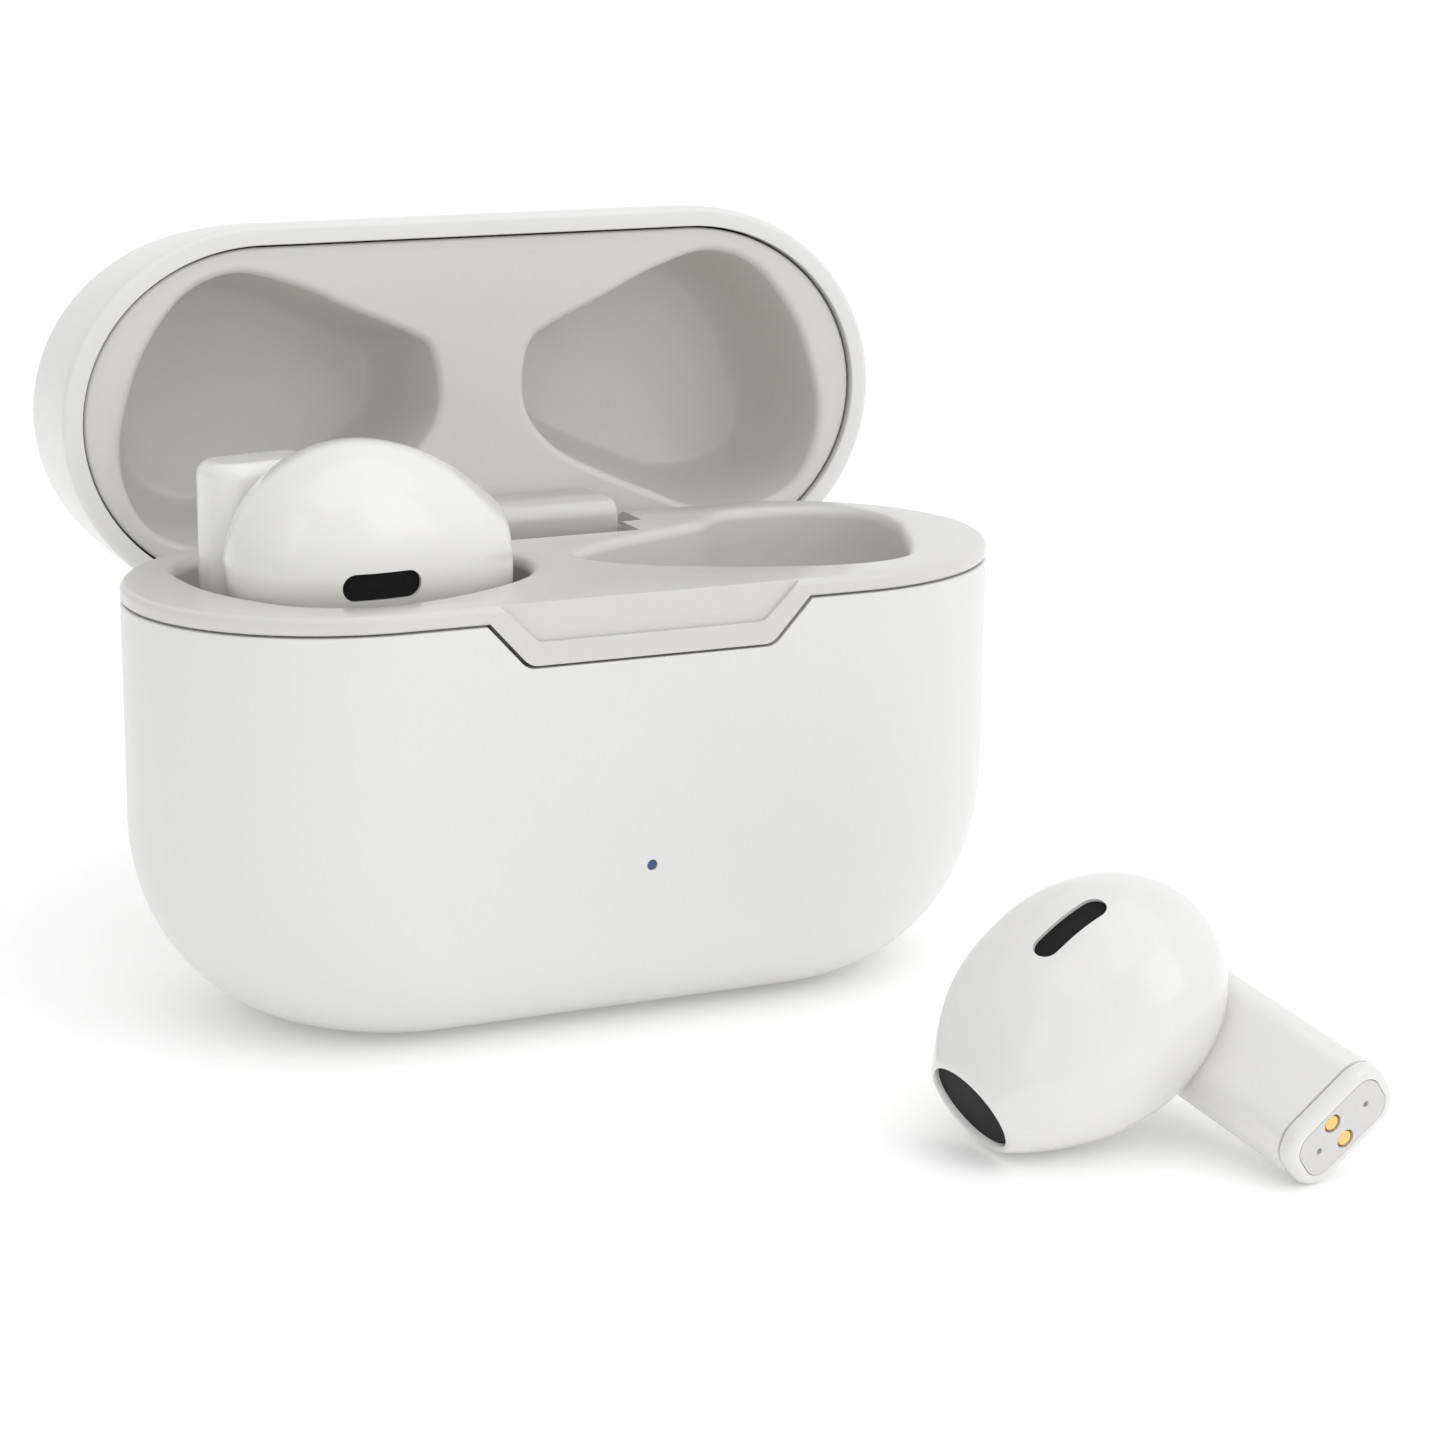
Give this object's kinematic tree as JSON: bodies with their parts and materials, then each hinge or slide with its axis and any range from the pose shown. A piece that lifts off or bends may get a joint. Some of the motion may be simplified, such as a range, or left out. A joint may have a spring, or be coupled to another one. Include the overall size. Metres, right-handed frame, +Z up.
{
  "type": "wireless earbuds case",
  "caption": "White charging case for wireless earbuds with its lid open, grey sockets, one earbud seated in its socket and the other lying in front of the case.",
  "frame": {"origin": "centre of the case's flat base, on the table", "axes": "+X to the case's right end seen from the front, -Y towards the front with the finger notch, +Z up"},
  "size_m": [0.0613, 0.0826, 0.0503],
  "materials": {
    "white_shell": "satin",
    "grey_insert": "satin",
    "pale_plastic": "matte",
    "black_plastic": "matte",
    "black_mesh": "woven mesh",
    "steel": "satin",
    "bright_steel": "polished",
    "gold": "polished plating",
    "foil": "satin foil",
    "board": "solder mask",
    "led": "matte",
    "clear_lens": "polished"
  },
  "bodies": {
    "case": {"case_shell": "white_shell", "inner_frame": "grey_insert", "hinge_bracket": "steel", "hinge_pin": "bright_steel", "hinge_screw_left": "steel", "hinge_screw_right": "steel", "battery": "foil", "main_pcb": "board", "usb_c_port": "steel", "light_pipe": "clear_lens", "led_chip": "led", "tact_switch": "black_plastic", "latch_magnet_case": "bright_steel", "left_bud_magnet": "bright_steel", "right_bud_magnet": "bright_steel", "left_pin_block": "black_plastic", "right_pin_block": "black_plastic"},
    "lid": {"lid_shell": "white_shell", "lid_liner": "grey_insert", "lid_magnet": "bright_steel", "hinge_arm": "grey_insert"},
    "pair_button": {"pair_button": "white_shell"},
    "left_charge_pin_front": {"left_charge_pin_front": "gold"},
    "left_charge_pin_back": {"left_charge_pin_back": "gold"},
    "right_charge_pin_front": {"right_charge_pin_front": "gold"},
    "right_charge_pin_back": {"right_charge_pin_back": "gold"},
    "left_earbud": {"left_head_shell": "white_shell", "left_stem_shell": "white_shell", "left_end_cap": "white_shell", "left_contact_plate": "pale_plastic", "left_contact_front": "gold", "left_contact_back": "gold", "left_nozzle_mesh": "black_mesh", "left_vent_mesh": "black_mesh", "left_speaker_driver": "bright_steel", "left_cell": "foil", "left_circuit_board": "board"},
    "right_earbud": {"right_head_shell": "white_shell", "right_stem_shell": "white_shell", "right_end_cap": "white_shell", "right_contact_plate": "pale_plastic", "right_contact_front": "gold", "right_contact_back": "gold", "right_nozzle_mesh": "black_mesh", "right_vent_mesh": "black_mesh", "right_speaker_driver": "bright_steel", "right_cell": "foil", "right_circuit_board": "board"}
  },
  "joints": [
    {"name": "lid_hinge", "type": "hinge", "parent": "case", "child": "lid", "pos_m": [0, 0.0112, 0.026], "axis": [-1, 0, 0], "range_deg": [-92, 0]},
    {"name": "pair_button_press", "type": "slide", "parent": "case", "child": "pair_button", "axis": [0, -1, 0], "range_m": [0, 0.0004], "stiffness_N_per_m": 600},
    {"name": "left_earbud_lift", "type": "slide", "parent": "case", "child": "left_earbud", "axis": [0, 0, 1], "range_m": [0, 0.03]},
    {"name": "right_earbud_lift", "type": "slide", "parent": "case", "child": "right_earbud", "axis": [0, 0, 1], "range_m": [0, 0.03]},
    {"name": "left_pin_front_travel", "type": "slide", "parent": "case", "child": "left_charge_pin_front", "axis": [0, 0, -1], "range_m": [0, 0.0005], "stiffness_N_per_m": 150},
    {"name": "left_pin_back_travel", "type": "slide", "parent": "case", "child": "left_charge_pin_back", "axis": [0, 0, -1], "range_m": [0, 0.0005], "stiffness_N_per_m": 150},
    {"name": "right_pin_front_travel", "type": "slide", "parent": "case", "child": "right_charge_pin_front", "axis": [0, 0, -1], "range_m": [0, 0.0005], "stiffness_N_per_m": 150},
    {"name": "right_pin_back_travel", "type": "slide", "parent": "case", "child": "right_charge_pin_back", "axis": [0, 0, -1], "range_m": [0, 0.0005], "stiffness_N_per_m": 150}
  ]
}
